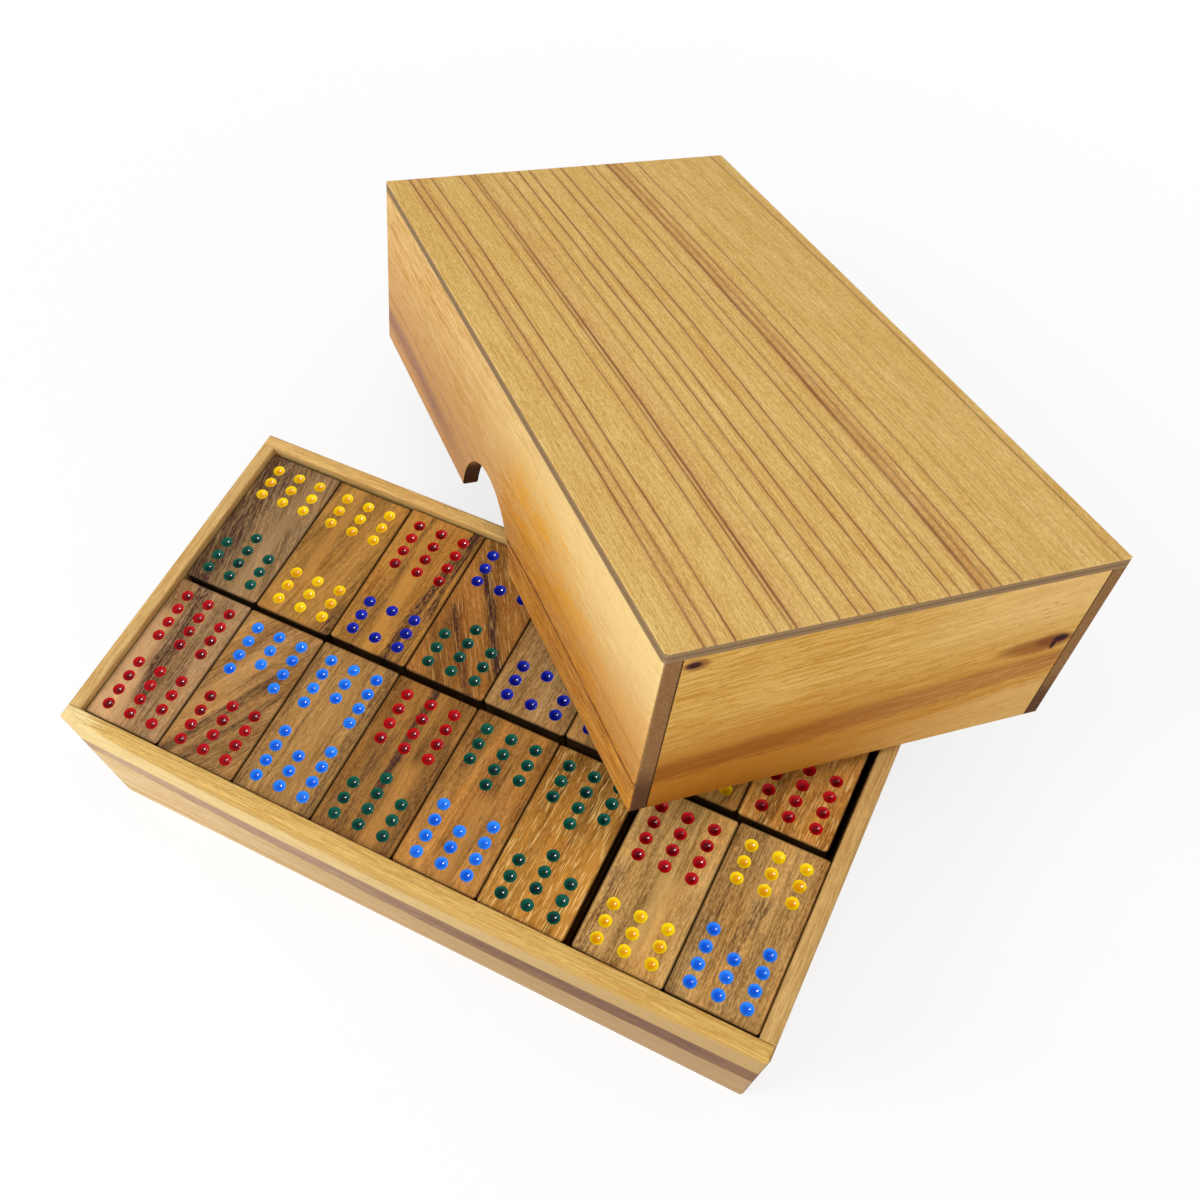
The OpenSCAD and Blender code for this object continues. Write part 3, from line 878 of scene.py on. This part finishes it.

# %% [markdown]
# A drop is turned on a lathe, in numbers: a few rings, each with its share of the
# pip's radius and its height, joined by bands of quads and closed by a pole at both
# ends. So each drop is a closed lens, with an upper skin, a rim and an under skin in
# the wood. Two values are stored at its points, for the paint: how deep the paint lies,
# which also sets the painted shade of the hollow, and a random number for the drop.

# %% Lathe the drops
BOWL_DEPTH = 0.95  # millimetres, of the dry paint's bowl
LIP = 0.03  # millimetres that the paint stands over the wood
RINGS = [0.5, 0.88]  # shares of the radius on the upper skin
UNDER = 0.75  # share of the radius of the ring in the wood


def bowl(share, radius, depth):
    """Height of a round bowl under its rim.

    The bowl is the cap of a ball of radius b = (radius² + depth²) / (2 depth), and at
    a share of the radius its height is (b - depth) - √(b² - (share · radius)²).
    """
    ball = (radius ** 2 + depth ** 2) / (2 * depth)
    return (ball - depth) - np.sqrt(ball ** 2 - (share * radius) ** 2)


def drop_points(middles, rim):
    """Points of the drops, as an array of drop, point and 3 columns, in millimetres.

    A ring's point is the middle plus the ring's radius times the cosine and sine of
    its angle, and its height is that of the bowl.
    """
    count = len(middles)
    circle = np.stack([np.cos(ANGLES), np.sin(ANGLES)], -1)
    rings = [(np.full_like(rim, share), bowl(share, PIP_RADIUS, BOWL_DEPTH) + LIP) for share in RINGS]
    rings.append((rim, LIP * 0.5))
    rings.append((np.full_like(rim, UNDER), bowl(UNDER, PIP_RADIUS, PIP_DEPTH) - LIP))
    blocks = [np.concatenate([middles, np.full((count, 1), LIP - BOWL_DEPTH)], 1)[:, None]]
    for share, height in rings:
        flat = middles[:, None] + circle * (share * PIP_RADIUS)[..., None]
        blocks.append(np.concatenate([flat, np.full((count, SEGMENTS, 1), height)], 2))
    blocks.append(np.concatenate([middles, np.full((count, 1), -PIP_DEPTH - LIP)], 1)[:, None])
    return np.concatenate(blocks, 1)


def drop_faces(count, per_drop):
    """Faces of all drops: a fan of triangles at both poles, and a strip of quads between two rings."""
    one, following = np.arange(SEGMENTS), (np.arange(SEGMENTS) + 1) % SEGMENTS
    starts = range(1, per_drop - 1, SEGMENTS)
    blocks = [np.stack([np.zeros_like(one), starts[0] + one, starts[0] + following], 1),
              np.stack([starts[-1] + one, np.full_like(one, per_drop - 1), starts[-1] + following], 1)]
    for a, b in zip(starts, starts[1:]):
        blocks.append(np.stack([a + one, b + one, b + following, a + following], 1))
    offsets = np.arange(count)[:, None, None] * per_drop
    faces = []
    for block in blocks:
        faces += (block + offsets).reshape(-1, block.shape[1]).tolist()
    return faces


def drops(name, middles, rim, board, tones):
    """One mesh with a closed drop of enamel at each middle."""
    points = drop_points(middles, rim)
    count, per_drop = points.shape[:2]
    here = points.reshape(-1, 3) @ board.axes.T * MM + board.zero
    mesh = bpy.data.meshes.new(name)
    mesh.from_pydata(here.tolist(), [], drop_faces(count, per_drop))
    mesh.shade_smooth()
    # how deep the paint lies at each point, which also sets the painted shade of the hollow
    pool_and_shade = np.zeros(per_drop)
    pool_and_shade[0] = 1
    for number, share in enumerate(RINGS):
        pool_and_shade[1 + number * SEGMENTS:][:SEGMENTS] = 1 - share ** 2
    for attribute, values in (("pool_and_shade", np.tile(pool_and_shade, count)), ("tone", np.repeat(tones, per_drop))):
        mesh.attributes.new(attribute, "FLOAT", "POINT").data.foreach_set("value", values)
    edges = np.empty(2 * len(mesh.edges), np.int32)
    mesh.edges.foreach_get("vertices", edges)
    ring = (edges.reshape(-1, 2) % per_drop - 1) // SEGMENTS
    mesh.edges.foreach_set("use_edge_sharp", (ring == len(RINGS)).all(1))
    made = bpy.data.objects.new(name, mesh)
    bpy.context.scene.collection.objects.link(made)
    return made


print(f"a drop has {2 + (len(RINGS) + 2) * SEGMENTS} points")

# %% [markdown]
# The enamel is opaque gloss paint. Where it lies thick it looks deeper and more
# saturated, and at the rim the thin paint looks lighter. Its middle is darker still as
# painted shade of the hollow. So the colour follows a value that each drop carries
# from its rim to its middle.

# %% Enamels
ENAMELS = {  # thin at the rim, thick and darkened by painted shade of the hollow in the middle
    "red": ((190, 8, 22), (88, 0, 5)),
    "light_blue": ((44, 140, 252), (8, 84, 212)),
    "green": ((8, 92, 74), (0, 36, 36)),
    "yellow": ((250, 216, 10), (218, 148, 2)),
    "navy": ((20, 40, 178), (2, 8, 112)),
    "orange": ((238, 116, 22), (196, 66, 4)),
    "purple": ((112, 44, 146), (66, 14, 96)),
    "turquoise": ((40, 178, 174), (8, 116, 118)),
    "brown": ((116, 60, 30), (66, 28, 12)),
    "pink": ((238, 126, 164), (202, 66, 116)),
    "grey": ((144, 144, 148), (92, 92, 96)),
    "white": ((242, 240, 232), (198, 194, 180)),
}


def enamel(name, thin, pooled_and_shaded):
    """Gloss paint, deeper from a drop's rim to its middle: thick paint and painted shade of the hollow."""
    material, at = start("enamel_" + name, tray)
    pool_and_shade, tone = (at.node("ShaderNodeAttribute", {"attribute_name": stored}, {}, output="Fac")
                  for stored in ("pool_and_shade", "tone"))
    skin = noise(scaled(at, 1.6, 1.6, 5), 2.0)
    # painted shade: the middle of a drop darkens as the shade of its hollow, as well as where the paint is
    # thick
    share = step(pool_and_shade + (skin - 0.5) * 0.3 + (tone - 0.5) * 0.4, 0.15, 1.05)
    return finish(material, mixed(share, colour(*thin), colour(*pooled_and_shaded)), skin, 0.16, 0.007, 0.075)


def paint(name, middles, rim, board, shade, carrier):
    """Fills the pips at the middles with one enamel, as a piece that rides on its carrier."""
    piece = drops(name, middles, rim, board, dice.uniform(0, 1, len(middles)))
    piece.data.materials.append(paints[shade])
    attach(piece, carrier)


paints = {name: enamel(name, *pair) for name, pair in ENAMELS.items()}
dice = np.random.default_rng(12)
for node, board in boards.items():
    grid = drilled(points_of(node), board)
    for half, side in ((1, "back"), (-1, "front")):
        mine = grid[grid[:, 0] == half]
        rim = slipped(rim_of(len(mine), dice), mine, SMEARS.get(node, []))
        name = f"enamel_{node.removeprefix('domino_')}_{side}_half"
        paint(name, pip_middles(mine), rim, board, ENAMEL_OF[len(mine)], node)
print(f"{sum(map(sum, counts.values()))} pips painted on the top layer")

# %% [markdown]
# The layer below is drilled and painted too, because it shows through the gaps and
# when a domino is taken out. A whole row is one node there, so the drops of one
# colour in a row become one piece, which stays with the tray.

# %% The layer below
for row in ("front", "back"):
    node = f"layer_5_{row}_dominoes"
    low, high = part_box(node)
    left_end = row_board(low, high)
    gathered = {}
    for column in range(1, 9):
        x = boards[f"domino_{row}_{column}"].zero[0]
        grid = drilled(points_of(node), Board((x, *left_end.zero[1:]), Y, -X, Z))
        for half in (1, -1):
            mine = grid[grid[:, 0] == half]
            if len(mine):
                places = pip_middles(mine) - (0, (x - low.x) / MM)
                gathered.setdefault(ENAMEL_OF[len(mine)], []).append(places)
    for shade, groups in gathered.items():
        middles = np.vstack(groups)
        paint(f"enamel_{node}_{shade}", middles, rim_of(len(middles), dice), left_end, shade, "tray")
    print(row, "row below:", {shade: sum(map(len, groups)) for shade, groups in gathered.items()})

# %% [markdown]
# ## Table, lamps and air
#
# A picture on white needs no walls: a large white table and a bright world are
# enough. A table of plain white would have no shadow, and one of lit paper would look
# grey. So the table is both: near the box about four fifths of what is seen of it is
# plain white and the rest is lit paper, which keeps a faint shadow, and the white
# takes over farther out.

# %% Table
TABLE_SIZE = 4.0
TABLE_WHITE = 0.78  # share of plain white near the box
WHITE_FROM, WHITE_TO = 0.12, 0.45  # metres from the middle, where it rises to 1
WHITE = (1, 1, 1, 1)


def to_the_eye(tree):
    """1 for rays from the camera, for reflections and for what is seen through glass, else 0."""
    path = tree.nodes.new("ShaderNodeLightPath")
    return largest([Value(path.outputs[f"Is {ray} Ray"]) for ray in ("Camera", "Glossy", "Transmission")])


def white_table():
    """Paper under plain white, which gets stronger with the distance from the middle."""
    material = bpy.data.materials.new("white_table")
    material.use_nodes = True
    tree = material.node_tree
    paper = tree.nodes["Principled BSDF"]
    paper.inputs["Base Color"].default_value = colour(250, 250, 252)
    paper.inputs["Roughness"].default_value = 0.9
    paper.inputs["Specular IOR Level"].default_value = 0.1
    at = Value(tree.nodes.new("ShaderNodeTexCoord").outputs["Object"])
    distance = at.node("ShaderNodeVectorMath", {"operation": "LENGTH"}, {0: at}, output="Value")
    share = to_the_eye(tree) * (step(distance, WHITE_FROM, WHITE_TO) * (1 - TABLE_WHITE) + TABLE_WHITE)
    plain = share.node("ShaderNodeEmission", {}, {"Color": WHITE, "Strength": 1.0})
    both = share.node("ShaderNodeMixShader", {}, {0: share, 1: Value(paper.outputs[0]), 2: plain})
    tree.links.new(both.socket, tree.nodes["Material Output"].inputs["Surface"])
    return material


corner = TABLE_SIZE / 2
square = [(-corner, -corner, 0), (corner, -corner, 0), (corner, corner, 0), (-corner, corner, 0)]
table_mesh = bpy.data.meshes.new("table")
table_mesh.from_pydata(square, [], [(0, 1, 2, 3)])
table_mesh.materials.append(white_table())
table = bpy.data.objects.new("table", table_mesh)
bpy.context.scene.collection.objects.link(table)
print(f"table {TABLE_SIZE:.1f} m wide")

# %% [markdown]
# The world is plain white to the camera and in reflections, but it lights the box only
# gently, so that the lamps can model its shape. The main lamp is soft and stands to
# the left, a fill lamp in front opens the shadows, and a wide one hangs above. The
# bright point in each gloss drop comes from a smaller lamp, high on the left. It is
# seen only in reflections, so it can be strong and still light nothing else.

# %% World and lamps
WORLD_LEVEL = 0.5  # light that the white surroundings give the box


def white_world():
    """White for the eye, and a share of it as light for all the rest."""
    world = bpy.data.worlds.new("studio")
    world.use_nodes = True
    tree = world.node_tree
    tree.nodes.clear()
    level = to_the_eye(tree) * (1 - WORLD_LEVEL) + WORLD_LEVEL
    air = level.node("ShaderNodeBackground", {}, {"Color": WHITE, "Strength": level})
    tree.links.new(air.socket, tree.nodes.new("ShaderNodeOutputWorld").inputs["Surface"])
    return world


def lamp(name, place, width, power, tint=(1.0, 1.0, 1.0)):
    """A square soft lamp at a place, turned to the middle of the box."""
    data = bpy.data.lights.new(name, "AREA")
    data.shape = "SQUARE"
    data.size = width
    data.energy = power
    data.color = tint
    aim = (Vector(cad_box[0]) + Vector(cad_box[1])) / 2
    made = bpy.data.objects.new(name, data)
    made.location = place
    made.rotation_euler = (aim - Vector(place)).to_track_quat("-Z", "Y").to_euler()
    bpy.context.scene.collection.objects.link(made)
    return made


bpy.context.scene.world = white_world()
lamps = [lamp("key", (-0.7, -0.6, 0.85), 0.5, 5.6, (1.0, 0.99, 0.97)),
         lamp("fill", (0.45, -0.85, 0.6), 0.7, 2.6),
         lamp("top", (0.1, 0.1, 1.3), 1.0, 3.4),
         lamp("glint", (-0.54, -0.23, 1.05), 0.3, 78.0)]
lamps[-1].visible_diffuse = False  # the glint shows only as a reflection
bpy.context.scene.view_settings.view_transform = "Standard"
print(f"world and {len(lamps)} lamps ready")
